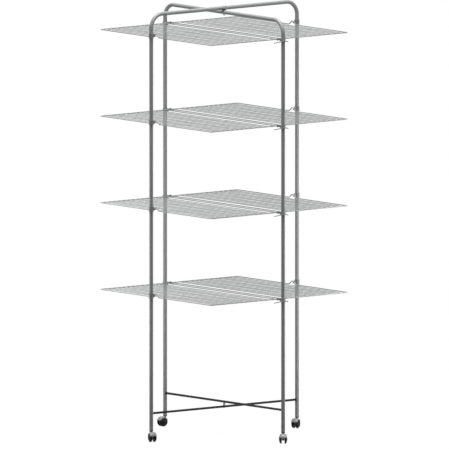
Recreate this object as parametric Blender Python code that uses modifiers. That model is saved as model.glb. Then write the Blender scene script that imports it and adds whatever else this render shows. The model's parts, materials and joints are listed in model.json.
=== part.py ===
"""Tower clothes airer: two crossed tube frames, four tiers of drop-leaf wire racks, four twin-wheel castors.

Frame A stands in the XZ plane and frame B in the YZ plane. Both turn on one upright pivot line through the
origin, so that the airer folds flat. The origin lies on the floor at the middle of the four legs, +Z is up.
Every size below is in millimetres, and every mesh is made in metres.
"""
import math

import bmesh
import bpy
from mathutils import Matrix, Vector

MM = 0.001
WELD_DISTANCE = 0.00002      # in metres
PAST = 5.0                   # how far a cutter runs past the piece that it cuts

# Tube frames: two straight legs and a bow whose swaged ends plug into them, inside the top clips' collars
LEG_REACH = 356.3            # plan distance from the pivot line to each leg's axis
TUBE_RADIUS = 7.5
TUBE_BORE = 6.5
LEG_FOOT = 42.0              # height of the cut end of each leg
SPIGOT_RADIUS = 5.95
SPIGOT_BORE = 5.0
SPIGOT_LENGTH = 32.0
SWAGE_LENGTH = 2.0           # solid step where the bow's bore narrows to the spigot's
BEND_RADIUS = 52.0
BEND_STEPS = 5
TOP_BAR_A = 1617.0           # height of frame A's top bar axis
TOP_BAR_B = 1633.5           # frame B's top bar crosses above frame A's

# Sides of round pieces; a curve's bevel resolution of 1, 2 or 4 gives 6, 8 or 12 sides
TUBE_RESOLUTION = 4
BORDER_RESOLUTION = 1
ROD_RESOLUTION = 2
INFILL_RESOLUTION = 1
BORE_SIDES = 12
TURNED_SIDES = 16

# Lower rods that tie each pair of legs
ROD_A = 127.0
ROD_B = 108.3
ROD_RADIUS = 4.3
ROD_HALF_LENGTH = 353.5      # each end stops inside the leg's bore
ROD_HOLE = 4.8

# Pivots
BOLT_SHANK = 2.5
BOLT_HOLE = 3.0
BOLT_HEAD = 6.0
BOLT_HEAD_HEIGHT = 3.7
BOLT_HEAD_STEPS = 3
BOLT_PAST_NUT = 1.0
NUT_RADIUS = 5.2
NUT_HEIGHT = 4.0
WASHER_RADIUS = 7.0
WASHER_HEIGHT = 0.9
RIVET_SHANK = 1.9
RIVET_HOLE = 2.5
RIVET_HEAD = 3.8
RIVET_HEAD_HEIGHT = 1.6
RIVET_HEAD_STEPS = 2
SLEEVE_RADIUS = 4.5
SEAT_GAP = 0.3               # gap kept between pieces that touch

# Racks: two drop leaves for each tier, hinged beside frame A's plane
TIERS = (550.5, 882.0, 1213.5, 1545.0)
HINGE_OFFSET = 14.2          # distance of each leaf's hinge line from frame A's plane
HALF_SIDE = 334.0            # half the side of a full square tier, to the border wire's axis
PIN_REACH = 345.0            # the hinge wire's ends are the leaf's two hinge pins
BORDER_RADIUS = 2.0
INFILL_RADIUS = 1.6
INFILL_COUNT = 12
INFILL_PITCH = 23.3
FIRST_INFILL = 36.5          # first infill wire, measured from the hinge line
CORNER_RADIUS = 6.0
CORNER_STEPS = 3
RAIL_START = 0.7             # the side rails start just inside the hinge wire that they are welded to
CATCH_BEND_HALF_WIDTH = 19.0
CATCH_BEND_FLAT = 3.0
CATCH_BEND_HEIGHT = 13.0

# Hinge clips on frame A's legs
CLIP_RADIUS = 9.7
CLIP_BORE = 8.05
HINGE_CLIP_Z = (-9.5, 2.5)
HINGE_NECK_X = (-14.8, -8.2)
HINGE_PLATE_X = (-18.3, -13.8)
HINGE_PLATE_HALF_WIDTH = 18.4
HINGE_PLATE_Z = (-4.2, 4.2)
HINGE_NECK_HALF_WIDTH = 4.0
HINGE_NECK_Z = (-7.5, 1.0)
HINGE_PIN_HOLE = 2.7
HINGE_PIN_HOLE_SIDES = 8
LEVER_RADIUS = 1.9
LEVER_X = 9.1
LEVER_PATH = ((17.5, -10.5), (14.5, -7.5), (0.0, -4.8), (-52.0, -9.5))

# Catch clips on frame B's legs
CATCH_CLIP_Z = (-2.0, 17.0)
CATCH_NOSE_HALF_WIDTH = 3.5
CATCH_NOSE_SIDE = ((-8.7, 2.5), (-8.7, 14.5), (-14.0, 13.0), (-18.5, 8.0), (-18.5, 5.0), (-15.0, 2.5))

# Castors
WHEEL_RADIUS = 18.0          # to the flats of the faceted tread, one of which rests on the floor
WHEEL_INNER = 5.3            # the faces of each wheel, from the castor's middle plane
WHEEL_OUTER = 16.2
TREAD_OUTER = 8.0
WHEEL_BORE = 2.9
WHEEL_BORE_END = 13.5
WHEEL_SIDES = 20
WHEEL_DOME_STEPS = 4
AXLE_RADIUS = 2.4
AXLE_HALF_LENGTH = 13.0
AXLE_SIDES = 10
TRAIL = 12.0                 # distance from the swivel line back to the axle
HOOD_RADIUS = 20.9           # at the castor's middle plane
HOOD_RIM_RADIUS = 15.6       # at the two side rims
HOOD_RIM = 13.4              # distance of the side rims from the middle plane
HOOD_ROUNDNESS = 2.6         # exponent of the curve from the middle to a rim
HOOD_STATIONS = (5.9, 10.2, 13.4)
HOOD_WALL = 1.1
HOOD_SIDES = 20
HOOD_CUT = 6.4               # height of the hood's lower edge above the axle
WEB_HALF_WIDTH = 4.5
WEB_RIM_RADIUS = 20.3        # the web's rim lies inside the hood's thickness
WEB_RIM_ARC = (20.0, 160.0)
WEB_RIM_STEPS = 10
WEB_FOOT_RADIUS = 6.5        # the web ends as a boss round the axle, so the wheels stand apart below
WEB_FOOT_ARC = (183.0, 355.0)
WEB_FOOT_STEPS = 7
STEM_RADIUS = 2.9
STEM_FOOT = 29.0
STEM_TOP = 58.0
NECK_RADIUS = 4.2
NECK_TOP = 38.9
NECK_FOOT = 27.0
PLUG_BORE = 3.4
PLUG_RADIUS = 5.95
PLUG_TOP = 62.0
PLUG_FLANGE = 8.0
PLUG_FLANGE_FOOT = 39.2
# Plan angle in degrees that each castor trails towards
CASTOR_HEADING = {"right": -39.0, "left": 262.0, "front": -20.0, "back": -62.0}

# Plan angle in degrees of each frame, and each leg's frame and side of the pivot line
FRAME_TURN = {"a": 0.0, "b": 90.0}
LEGS = {"right": ("a", 1), "left": ("a", -1), "front": ("b", -1), "back": ("b", 1)}


def clear_scene():
    """Remove every object that the scene starts with."""
    for item in list(bpy.data.objects):
        bpy.data.objects.remove(item, do_unlink=True)


def new_collection(name):
    """Make a collection under the scene's own and return it."""
    collection = bpy.data.collections.new(name)
    bpy.context.scene.collection.children.link(collection)
    return collection


def new_material(name, colour, roughness, metallic):
    """Make a Principled material from a linear colour, a roughness and a metallic value."""
    material = bpy.data.materials.new(name)
    material.use_nodes = True
    shader = material.node_tree.nodes["Principled BSDF"]
    shader.inputs["Base Color"].default_value = (*colour, 1.0)
    shader.inputs["Roughness"].default_value = roughness
    shader.inputs["Metallic"].default_value = metallic
    return material


def evaluated_mesh(item):
    """Return the item's mesh with its modifiers applied, welded and facing out, and remove the item."""
    graph = bpy.context.evaluated_depsgraph_get()
    mesh = bpy.data.meshes.new_from_object(item.evaluated_get(graph))
    bpy.data.objects.remove(item, do_unlink=True)
    shape = bmesh.new()
    shape.from_mesh(mesh)
    bmesh.ops.remove_doubles(shape, verts=shape.verts, dist=WELD_DISTANCE)
    bmesh.ops.recalc_face_normals(shape, faces=shape.faces)
    shape.to_mesh(mesh)
    shape.free()
    return mesh


def tube_mesh(points, radius, sides_setting):
    """Make a solid round bar along the points, as a bevelled curve with filled ends."""
    curve = bpy.data.curves.new("tube", "CURVE")
    curve.dimensions = "3D"
    curve.bevel_depth = radius * MM
    curve.bevel_resolution = sides_setting
    curve.use_fill_caps = True
    spline = curve.splines.new("POLY")
    spline.points.add(len(points) - 1)
    for place, point in zip(spline.points, points):
        place.co = (*(Vector(point) * MM), 1.0)
    item = bpy.data.objects.new("tube", curve)
    workshop.objects.link(item)
    return evaluated_mesh(item)


def outline_mesh(points, half_thickness):
    """Make a flat plate from an outline in the XY plane, as a filled and extruded curve."""
    curve = bpy.data.curves.new("outline", "CURVE")
    curve.dimensions = "2D"
    curve.fill_mode = "BOTH"
    curve.extrude = half_thickness * MM
    spline = curve.splines.new("POLY")
    spline.points.add(len(points) - 1)
    for place, (x, y) in zip(spline.points, points):
        place.co = (x * MM, y * MM, 0.0, 1.0)
    spline.use_cyclic_u = True
    item = bpy.data.objects.new("outline", curve)
    workshop.objects.link(item)
    return evaluated_mesh(item)


def turned_mesh(profile, segments, closed):
    """Turn a profile of (radius, height) points about Z. It runs down its outer side, top to bottom."""
    mesh = bpy.data.meshes.new("profile")
    shape = bmesh.new()
    verts = [shape.verts.new((radius * MM, 0.0, height * MM)) for radius, height in profile]
    for first, second in zip(verts, verts[1:]):
        shape.edges.new((first, second))
    if closed:
        shape.edges.new((verts[-1], verts[0]))
    shape.to_mesh(mesh)
    shape.free()
    item = bpy.data.objects.new("profile", mesh)
    workshop.objects.link(item)
    screw = item.modifiers.new("turn", "SCREW")
    screw.steps = segments
    screw.render_steps = segments
    screw.use_merge_vertices = True
    screw.merge_threshold = WELD_DISTANCE
    return evaluated_mesh(item)


def bar_mesh(radius, foot, top, segments):
    """Make an upright cylinder on the Z axis between two heights."""
    mesh = bpy.data.meshes.new("bar")
    shape = bmesh.new()
    place = Matrix.Translation((0.0, 0.0, (foot + top) / 2 * MM))
    bmesh.ops.create_cone(shape, cap_ends=True, segments=segments, radius1=radius * MM, radius2=radius * MM,
                          depth=(top - foot) * MM, matrix=place)
    shape.to_mesh(mesh)
    shape.free()
    return mesh


def box_mesh(low, high):
    """Make a box between two opposite corners."""
    mesh = bpy.data.meshes.new("box")
    shape = bmesh.new()
    low = Vector(low) * MM
    high = Vector(high) * MM
    size = Matrix.Diagonal((*(high - low), 1.0))
    bmesh.ops.create_cube(shape, size=1.0, matrix=Matrix.Translation((low + high) / 2) @ size)
    shape.to_mesh(mesh)
    shape.free()
    return mesh


def placed(mesh, offset=(0.0, 0.0, 0.0), turn=0.0, axis="Z"):
    """Turn a mesh by some degrees about an axis, then move it by an offset."""
    move = Matrix.Translation(Vector(offset) * MM)
    mesh.transform(move @ Matrix.Rotation(math.radians(turn), 4, axis))
    return mesh


def gathered(meshes):
    """Put several meshes that do not touch into one mesh."""
    shape = bmesh.new()
    for mesh in meshes:
        shape.from_mesh(mesh)
    result = bpy.data.meshes.new("gathered")
    shape.to_mesh(result)
    shape.free()
    return result


def carved(base, tools, operation):
    """Join tools to a base mesh or cut them from it, one after another, and return the result."""
    body = bpy.data.objects.new("body", base)
    workshop.objects.link(body)
    helpers = []
    for tool in tools:
        helper = bpy.data.objects.new("helper", tool)
        helper.hide_render = True
        helper.display_type = "WIRE"
        workshop.objects.link(helper)
        helpers.append(helper)
        cut = body.modifiers.new("carve", "BOOLEAN")
        cut.operation = operation
        cut.solver = "EXACT"
        cut.object = helper
    result = evaluated_mesh(body)
    for helper in helpers:
        bpy.data.objects.remove(helper, do_unlink=True)
    return result


def place_node(name, mesh, material, parent, location=(0.0, 0.0, 0.0), turn=0.0, axis="Z"):
    """Add one named piece to the airer, shaded smooth but for its sharp edges."""
    if not mesh.materials:
        mesh.materials.append(material)
        mesh.shade_smooth()
        mesh.set_sharp_from_angle(angle=math.radians(40.0))
    item = bpy.data.objects.new(name, mesh)
    item.location = Vector(location) * MM
    item.rotation_mode = "XYZ"
    item.rotation_euler["XYZ".index(axis)] = math.radians(turn)
    item.parent = parent
    airer.objects.link(item)
    return item


def new_axis(name, location=(0.0, 0.0, 0.0), turn=0.0, parent=None):
    """Add an empty that stands on a joint's axis and carries the pieces that turn on it."""
    item = bpy.data.objects.new(name, None)
    item.location = Vector(location) * MM
    item.rotation_euler.z = math.radians(turn)
    item.parent = parent
    airer.objects.link(item)
    return item


def arc_points(centre, radius, start, end, steps):
    """Points of an arc in a plane, with the angles in degrees and both ends included."""
    points = []
    for step in range(steps + 1):
        angle = math.radians(start + (end - start) * step / steps)
        points.append((centre[0] + radius * math.cos(angle), centre[1] + radius * math.sin(angle)))
    return points


def dome_points(radius, rim_height, crown_height, steps):
    """Points of a quarter ellipse, from the crown on the axis out and down to the rim."""
    points = []
    for step in range(steps + 1):
        angle = math.radians(90.0 * step / steps)
        height = rim_height + (crown_height - rim_height) * math.cos(angle)
        points.append((radius * math.sin(angle), height))
    return points


def leg_tube_mesh(seam, rod_height):
    """A straight leg on the Z axis, open at both ends, with the tie rod's hole in its inner (-X) wall."""
    outside = tube_mesh([(0.0, 0.0, LEG_FOOT), (0.0, 0.0, seam - SEAT_GAP)], TUBE_RADIUS, TUBE_RESOLUTION)
    inside = tube_mesh([(0.0, 0.0, LEG_FOOT - PAST), (0.0, 0.0, seam + PAST)], TUBE_BORE, TUBE_RESOLUTION)
    rod_hole = bar_mesh(ROD_HOLE, -TUBE_RADIUS - PAST, 0.0, BORE_SIDES)
    placed(rod_hole, (0.0, 0.0, rod_height), 90.0, "Y")
    return carved(outside, [inside, rod_hole], "DIFFERENCE")


def bow_path(foot, top_bar):
    """Centre line of a bow: up from one foot, round a bend, along the top bar, and down the same way."""
    bend_x = LEG_REACH - BEND_RADIUS
    bend_z = top_bar - BEND_RADIUS
    left_bend = arc_points((-bend_x, bend_z), BEND_RADIUS, 180.0, 90.0, BEND_STEPS)
    right_bend = arc_points((bend_x, bend_z), BEND_RADIUS, 90.0, 0.0, BEND_STEPS)
    bends = [(x, 0.0, z) for x, z in left_bend + right_bend]
    return [(-LEG_REACH, 0.0, foot)] + bends + [(LEG_REACH, 0.0, foot)]


def bow_mesh(top_bar, seam):
    """The bent upper tube of a frame, swaged to a spigot at both ends and bored for the pivot bolt."""
    outside = tube_mesh(bow_path(seam, top_bar), TUBE_RADIUS, TUBE_RESOLUTION)
    inside = tube_mesh(bow_path(seam + SWAGE_LENGTH, top_bar), TUBE_BORE, TUBE_RESOLUTION)
    spigots = []
    spigot_bores = []
    for x in (-LEG_REACH, LEG_REACH):
        spigot = bar_mesh(SPIGOT_RADIUS, seam - SPIGOT_LENGTH, seam + SWAGE_LENGTH / 2, BORE_SIDES)
        spigots.append(placed(spigot, (x, 0.0, 0.0)))
        bore = bar_mesh(SPIGOT_BORE, seam - SPIGOT_LENGTH - PAST, seam + SWAGE_LENGTH + PAST, BORE_SIDES)
        spigot_bores.append(placed(bore, (x, 0.0, 0.0)))
    pivot_bore = bar_mesh(BOLT_HOLE, top_bar - TUBE_RADIUS - PAST, top_bar + TUBE_RADIUS + PAST, BORE_SIDES)
    solid = carved(outside, [gathered(spigots)], "UNION")
    return carved(solid, [inside, gathered(spigot_bores), pivot_bore], "DIFFERENCE")


def tie_rod_mesh(height):
    """A round rod between two legs, with an upright hole at its middle for the base pivot."""
    ends = [(-ROD_HALF_LENGTH, 0.0, height), (ROD_HALF_LENGTH, 0.0, height)]
    hole = bar_mesh(RIVET_HOLE, height - ROD_RADIUS - PAST, height + ROD_RADIUS + PAST, BORE_SIDES)
    return carved(tube_mesh(ends, ROD_RADIUS, ROD_RESOLUTION), [hole], "DIFFERENCE")


def make_frames():
    """The bow and tie rod of each frame on its empty on the pivot line, and a leg at each side."""
    sizes = {"a": (TOP_BAR_A, ROD_A, HINGE_CLIP_Z), "b": (TOP_BAR_B, ROD_B, CATCH_CLIP_Z)}
    leg_meshes = {}
    for name, (top_bar, rod_height, clip_z) in sizes.items():
        seam = TIERS[-1] + sum(clip_z) / 2
        place_node(f"frame_{name}_bow", bow_mesh(top_bar, seam), tube_metal, frames[name])
        place_node(f"frame_{name}_rod", tie_rod_mesh(rod_height), dark_metal, frames[name])
        leg_meshes[name] = leg_tube_mesh(seam, rod_height)
    for side, (frame, sign) in LEGS.items():
        turn = 90.0 - 90.0 * sign
        place = (sign * LEG_REACH, 0.0, 0.0)
        place_node(f"leg_tube_{side}", leg_meshes[frame], tube_metal, frames[frame], place, turn)


def make_top_pivot():
    """A dome-headed bolt down through both top bars, a washer between the bars and a nut below."""
    seat = TOP_BAR_B + TUBE_RADIUS + SEAT_GAP
    crown = seat + BOLT_HEAD_HEIGHT
    nut_top = TOP_BAR_A - TUBE_RADIUS - SEAT_GAP
    nut_foot = nut_top - NUT_HEIGHT
    bolt_foot = nut_foot - BOLT_PAST_NUT
    bolt = dome_points(BOLT_HEAD, seat, crown, BOLT_HEAD_STEPS)
    bolt += [(BOLT_SHANK, seat), (BOLT_SHANK, bolt_foot), (0.0, bolt_foot)]
    place_node("top_pivot_bolt", turned_mesh(bolt, TURNED_SIDES, False), zinc, frames["a"])
    nut_bore = bar_mesh(BOLT_HOLE, nut_foot - PAST, nut_top + PAST, BORE_SIDES)
    nut = carved(bar_mesh(NUT_RADIUS, nut_foot, nut_top, 6), [nut_bore], "DIFFERENCE")
    place_node("top_pivot_nut", nut, zinc, frames["a"])
    middle = (TOP_BAR_A + TOP_BAR_B) / 2
    low = middle - WASHER_HEIGHT / 2
    high = middle + WASHER_HEIGHT / 2
    washer = [(BOLT_HOLE, high), (WASHER_RADIUS, high), (WASHER_RADIUS, low), (BOLT_HOLE, low)]
    place_node("top_pivot_washer", turned_mesh(washer, TURNED_SIDES, True), black_plastic, frames["a"])


def make_base_pivot():
    """A rivet through both tie rods where they cross, with a pale sleeve that keeps them apart."""
    head_seat = ROD_A + ROD_RADIUS + SEAT_GAP
    foot_seat = ROD_B - ROD_RADIUS - SEAT_GAP
    upper_head = dome_points(RIVET_HEAD, head_seat, head_seat + RIVET_HEAD_HEIGHT, RIVET_HEAD_STEPS)
    lower_head = dome_points(RIVET_HEAD, foot_seat, foot_seat - RIVET_HEAD_HEIGHT, RIVET_HEAD_STEPS)
    rivet = upper_head + [(RIVET_SHANK, head_seat), (RIVET_SHANK, foot_seat)] + lower_head[::-1]
    place_node("base_pivot_rivet", turned_mesh(rivet, BORE_SIDES, False), zinc, frames["a"])
    low = ROD_B + ROD_RADIUS + SEAT_GAP
    high = ROD_A - ROD_RADIUS - SEAT_GAP
    sleeve = [(RIVET_HOLE, high), (SLEEVE_RADIUS, high), (SLEEVE_RADIUS, low), (RIVET_HOLE, low)]
    place_node("base_pivot_sleeve", turned_mesh(sleeve, BORE_SIDES, True), pale_plastic, frames["a"])


def rack_border_path():
    """The side rails and outer border of one rack as one bent wire, with the catch bend at its middle."""
    reach = HALF_SIDE - HINGE_OFFSET
    turn_x = HALF_SIDE - CORNER_RADIUS
    turn_y = reach - CORNER_RADIUS
    right = arc_points((turn_x, turn_y), CORNER_RADIUS, 0.0, 90.0, CORNER_STEPS)
    left = arc_points((-turn_x, turn_y), CORNER_RADIUS, 90.0, 180.0, CORNER_STEPS)
    path = [(HALF_SIDE, RAIL_START, 0.0)]
    path += [(x, y, 0.0) for x, y in right]
    path += [(CATCH_BEND_HALF_WIDTH, reach, 0.0), (CATCH_BEND_FLAT, reach, CATCH_BEND_HEIGHT)]
    path += [(-CATCH_BEND_FLAT, reach, CATCH_BEND_HEIGHT), (-CATCH_BEND_HALF_WIDTH, reach, 0.0)]
    path += [(x, y, 0.0) for x, y in left]
    path += [(-HALF_SIDE, RAIL_START, 0.0)]
    return path


def rack_mesh():
    """One rack with its hinge line on the X axis, reaching out along +Y, all its wires welded together."""
    hinge_wire = tube_mesh([(-PIN_REACH, 0.0, 0.0), (PIN_REACH, 0.0, 0.0)], BORDER_RADIUS, ROD_RESOLUTION)
    border = tube_mesh(rack_border_path(), BORDER_RADIUS, BORDER_RESOLUTION)
    infill = []
    for number in range(INFILL_COUNT):
        y = FIRST_INFILL + INFILL_PITCH * number
        ends = [(-HALF_SIDE, y, 0.0), (HALF_SIDE, y, 0.0)]
        infill.append(tube_mesh(ends, INFILL_RADIUS, INFILL_RESOLUTION))
    return carved(hinge_wire, [border, gathered(infill)], "UNION")


def make_racks():
    """Two racks for each tier, their origins on their hinge lines: front ones reach -Y, back ones +Y."""
    mesh = rack_mesh()
    for number, height in enumerate(TIERS, start=1):
        place_node(f"rack_{number}_back", mesh, wire_metal, frames["a"], (0.0, HINGE_OFFSET, height))
        place_node(f"rack_{number}_front", mesh, wire_metal, frames["a"], (0.0, -HINGE_OFFSET, height), 180.0)


def hinge_clip_mesh():
    """A clip on a leg of frame A: collar, neck and a plate with two pin holes, and a bent lever outside."""
    low, high = HINGE_CLIP_Z
    collar = bar_mesh(CLIP_RADIUS, low, high, BORE_SIDES)
    neck = box_mesh((HINGE_NECK_X[0], -HINGE_NECK_HALF_WIDTH, HINGE_NECK_Z[0]),
                    (HINGE_NECK_X[1], HINGE_NECK_HALF_WIDTH, HINGE_NECK_Z[1]))
    plate = box_mesh((HINGE_PLATE_X[0], -HINGE_PLATE_HALF_WIDTH, HINGE_PLATE_Z[0]),
                     (HINGE_PLATE_X[1], HINGE_PLATE_HALF_WIDTH, HINGE_PLATE_Z[1]))
    lever = tube_mesh([(LEVER_X, y, z) for y, z in LEVER_PATH], LEVER_RADIUS, ROD_RESOLUTION)
    solid = carved(collar, [neck, plate, lever], "UNION")
    holes = []
    for y in (-HINGE_OFFSET, HINGE_OFFSET):
        low_end = HINGE_PLATE_X[0] - PAST
        hole = bar_mesh(HINGE_PIN_HOLE, low_end, HINGE_NECK_X[1], HINGE_PIN_HOLE_SIDES)
        holes.append(placed(hole, (0.0, y, 0.0), 90.0, "Y"))
    bore = bar_mesh(CLIP_BORE, low - PAST, high + PAST, BORE_SIDES)
    return carved(solid, [bore, gathered(holes)], "DIFFERENCE")


def catch_clip_mesh():
    """A clip on a leg of frame B: a collar whose nose points inwards under the rack's catch bend."""
    low, high = CATCH_CLIP_Z
    collar = bar_mesh(CLIP_RADIUS, low, high, BORE_SIDES)
    nose = placed(outline_mesh(CATCH_NOSE_SIDE, CATCH_NOSE_HALF_WIDTH), turn=90.0, axis="X")
    bore = bar_mesh(CLIP_BORE, low - PAST, high + PAST, BORE_SIDES)
    return carved(carved(collar, [nose], "UNION"), [bore], "DIFFERENCE")


def make_clips():
    """A hinge clip on each leg of frame A and a catch clip on each leg of frame B, for every tier."""
    kinds = {"a": ("hinge", hinge_clip_mesh()), "b": ("catch", catch_clip_mesh())}
    for number, height in enumerate(TIERS, start=1):
        for side, (frame, sign) in LEGS.items():
            kind, mesh = kinds[frame]
            turn = 90.0 - 90.0 * sign
            place = (sign * LEG_REACH, 0.0, height)
            place_node(f"{kind}_clip_{number}_{side}", mesh, clip_plastic, frames[frame], place, turn)


def hood_radius(across):
    """The hood's outer radius at a distance across from the castor's middle plane."""
    fullness = 1.0 - (abs(across) / HOOD_RIM) ** HOOD_ROUNDNESS
    return HOOD_RIM_RADIUS + (HOOD_RADIUS - HOOD_RIM_RADIUS) * fullness ** (1.0 / HOOD_ROUNDNESS)


def hood_mesh():
    """A rounded shell turned about the axle, cut off level a little above it."""
    stations = HOOD_STATIONS[::-1] + tuple(-across for across in HOOD_STATIONS)
    outer = [(hood_radius(across), across) for across in stations]
    inner = [(radius - HOOD_WALL, across) for radius, across in reversed(outer)]
    shell = turned_mesh(outer + inner, HOOD_SIDES, True)
    axle_place = (TRAIL, 0.0, WHEEL_RADIUS)
    placed(shell, axle_place, 90.0, "X")
    size = HOOD_RADIUS + PAST
    below = placed(box_mesh((-size, -size, -size), (size, size, HOOD_CUT)), axle_place)
    return carved(shell, [below], "DIFFERENCE")


def castor_body_mesh():
    """Hood, middle web, neck and stem of one castor; the stem is on the Z axis and the axle behind it."""
    centre = (TRAIL, WHEEL_RADIUS)
    web_rim = arc_points(centre, WEB_RIM_RADIUS, *WEB_RIM_ARC, WEB_RIM_STEPS)
    web_foot = arc_points(centre, WEB_FOOT_RADIUS, *WEB_FOOT_ARC, WEB_FOOT_STEPS)
    hood = hood_mesh()
    web = placed(outline_mesh(web_rim + web_foot, WEB_HALF_WIDTH), turn=90.0, axis="X")
    neck = bar_mesh(NECK_RADIUS, NECK_FOOT, NECK_TOP, BORE_SIDES)
    stem = bar_mesh(STEM_RADIUS, STEM_FOOT, STEM_TOP, BORE_SIDES)
    solid = carved(hood, [web, neck, stem], "UNION")
    axle_hole = bar_mesh(WHEEL_BORE, -WEB_HALF_WIDTH - PAST, WEB_HALF_WIDTH + PAST, BORE_SIDES)
    placed(axle_hole, (TRAIL, 0.0, WHEEL_RADIUS), 90.0, "X")
    return carved(solid, [axle_hole], "DIFFERENCE")


def wheel_mesh():
    """One wheel turned about Z: domed outer face up, blind bore below, and a tread facet square to X."""
    half_step = 180.0 / WHEEL_SIDES
    rim = WHEEL_RADIUS / math.cos(math.radians(half_step))
    profile = dome_points(rim, TREAD_OUTER, WHEEL_OUTER, WHEEL_DOME_STEPS)
    profile += [(rim, WHEEL_INNER), (WHEEL_BORE, WHEEL_INNER)]
    profile += [(WHEEL_BORE, WHEEL_BORE_END), (0.0, WHEEL_BORE_END)]
    return placed(turned_mesh(profile, WHEEL_SIDES, False), turn=half_step)


def plug_mesh():
    """The plastic socket in a leg's foot: a flanged bush that the castor's stem turns in."""
    seat = LEG_FOOT - SEAT_GAP
    profile = [(PLUG_BORE, PLUG_TOP), (PLUG_RADIUS, PLUG_TOP), (PLUG_RADIUS, seat), (PLUG_FLANGE, seat),
               (PLUG_FLANGE, PLUG_FLANGE_FOOT), (PLUG_BORE, PLUG_FLANGE_FOOT)]
    return turned_mesh(profile, BORE_SIDES, True)


def make_castors():
    """A socket and a twin-wheel castor under each leg; frame B's go with frame B."""
    body = castor_body_mesh()
    wheel = wheel_mesh()
    plug = plug_mesh()
    axle = bar_mesh(AXLE_RADIUS, -AXLE_HALF_LENGTH, AXLE_HALF_LENGTH, AXLE_SIDES)
    axle_place = (TRAIL, 0.0, WHEEL_RADIUS)
    for side, (frame, sign) in LEGS.items():
        place = (sign * LEG_REACH, 0.0, 0.0)
        place_node(f"leg_socket_{side}", plug, black_plastic, frames[frame], place)
        turn = CASTOR_HEADING[side] - FRAME_TURN[frame]
        swivel = new_axis(f"castor_{side}_swivel", place, turn, frames[frame])
        place_node(f"castor_{side}_body", body, hood_plastic, swivel)
        place_node(f"castor_{side}_axle", axle, zinc, swivel, axle_place, 90.0, "X")
        place_node(f"castor_{side}_wheel_a", wheel, black_plastic, swivel, axle_place, -90.0, "X")
        place_node(f"castor_{side}_wheel_b", wheel, black_plastic, swivel, axle_place, 90.0, "X")


clear_scene()
airer = new_collection("tower_clothes_airer")
workshop = new_collection("cutters")

tube_metal = new_material("silver_painted_tube", (0.23, 0.233, 0.238), 0.38, 0.15)
wire_metal = new_material("pale_coated_wire", (0.34, 0.345, 0.35), 0.40, 0.10)
dark_metal = new_material("dark_rod", (0.035, 0.035, 0.038), 0.45, 0.10)
zinc = new_material("zinc_plated_steel", (0.55, 0.55, 0.54), 0.35, 1.00)
clip_plastic = new_material("grey_clip_plastic", (0.18, 0.182, 0.186), 0.45, 0.00)
hood_plastic = new_material("castor_hood_plastic", (0.25, 0.25, 0.255), 0.30, 0.00)
black_plastic = new_material("black_plastic", (0.02, 0.02, 0.021), 0.45, 0.00)
pale_plastic = new_material("pale_sleeve_plastic", (0.65, 0.65, 0.63), 0.45, 0.00)

frames = {name: new_axis(f"frame_{name}_fold_axis", turn=turn) for name, turn in FRAME_TURN.items()}
make_frames()
make_top_pivot()
make_base_pivot()
make_racks()
make_clips()
make_castors()
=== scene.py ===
"""The looks of a tower clothes airer: fine surfaces, finishes, floor, light and camera round its frame.

Lengths are in metres and angles in degrees. The floor is z = 0 and the fold axis is the Z axis. Frame A lies
in the XZ plane with the racks' hinge lines beside it, frame B in the YZ plane. Places come from the frame's
own joints and boxes; the sizes of wires, clips and castors are the fields of their classes.
"""

import json
import logging
import math
from collections.abc import Callable, Iterable, Mapping, Sequence
from dataclasses import dataclass
from enum import Enum
from typing import Any, Union

import bmesh
import bpy
import numpy as np
from mathutils import Matrix, Vector


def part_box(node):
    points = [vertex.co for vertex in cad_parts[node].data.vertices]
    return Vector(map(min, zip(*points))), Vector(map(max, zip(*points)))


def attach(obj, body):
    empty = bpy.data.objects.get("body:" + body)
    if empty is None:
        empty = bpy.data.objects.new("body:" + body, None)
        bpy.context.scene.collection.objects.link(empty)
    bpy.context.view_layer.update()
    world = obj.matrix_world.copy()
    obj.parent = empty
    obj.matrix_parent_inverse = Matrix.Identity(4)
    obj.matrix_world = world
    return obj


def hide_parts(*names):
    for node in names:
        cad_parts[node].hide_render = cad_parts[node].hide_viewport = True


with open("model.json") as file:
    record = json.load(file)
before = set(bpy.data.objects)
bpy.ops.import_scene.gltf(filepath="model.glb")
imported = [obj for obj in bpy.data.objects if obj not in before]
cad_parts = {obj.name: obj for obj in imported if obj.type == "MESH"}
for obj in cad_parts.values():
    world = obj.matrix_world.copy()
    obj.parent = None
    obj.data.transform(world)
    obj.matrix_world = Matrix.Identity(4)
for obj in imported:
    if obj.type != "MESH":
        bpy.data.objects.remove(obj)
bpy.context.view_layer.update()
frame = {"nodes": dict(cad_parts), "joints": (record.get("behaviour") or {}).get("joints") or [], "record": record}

LOG = logging.getLogger("airer")

Array = np.ndarray
Colour = tuple[float, float, float]
SHARP_ANGLE = 38.0
EASE_LIMIT = 0.45
SEEN_RAYS = (0, 3, 6)
RIM_STEPS = 4
UP = np.array([0.0, 0.0, 1.0])
X_AXIS = Vector((1.0, 0.0, 0.0))
Z_AXIS = Vector((0.0, 0.0, 1.0))
TIERS = (1, 2, 3, 4)


class Slot(Enum):
    """The record's material slots."""

    TUBE = "tube"
    WIRE = "coated_wire"
    ROD = "dark_rod"
    ZINC = "zinc"
    CLIP = "clip_plastic"
    HOOD = "castor_hood"
    BLACK = "black_plastic"
    PALE = "pale_plastic"


class Leg(Enum):
    """The four legs, each with its frame's letter and the way out from the fold axis."""

    RIGHT = ("right", "a", (1.0, 0.0))
    LEFT = ("left", "a", (-1.0, 0.0))
    FRONT = ("front", "b", (0.0, -1.0))
    BACK = ("back", "b", (0.0, 1.0))

    @property
    def side(self) -> str:
        """The leg's name in the frame's nodes."""
        return self.value[0]

    @property
    def letter(self) -> str:
        """The letter of the tube frame that the leg belongs to."""
        return self.value[1]

    @property
    def outwards(self) -> Vector:
        """Unit vector from the fold axis out to the leg."""
        return Vector((*self.value[2], 0.0))


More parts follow.
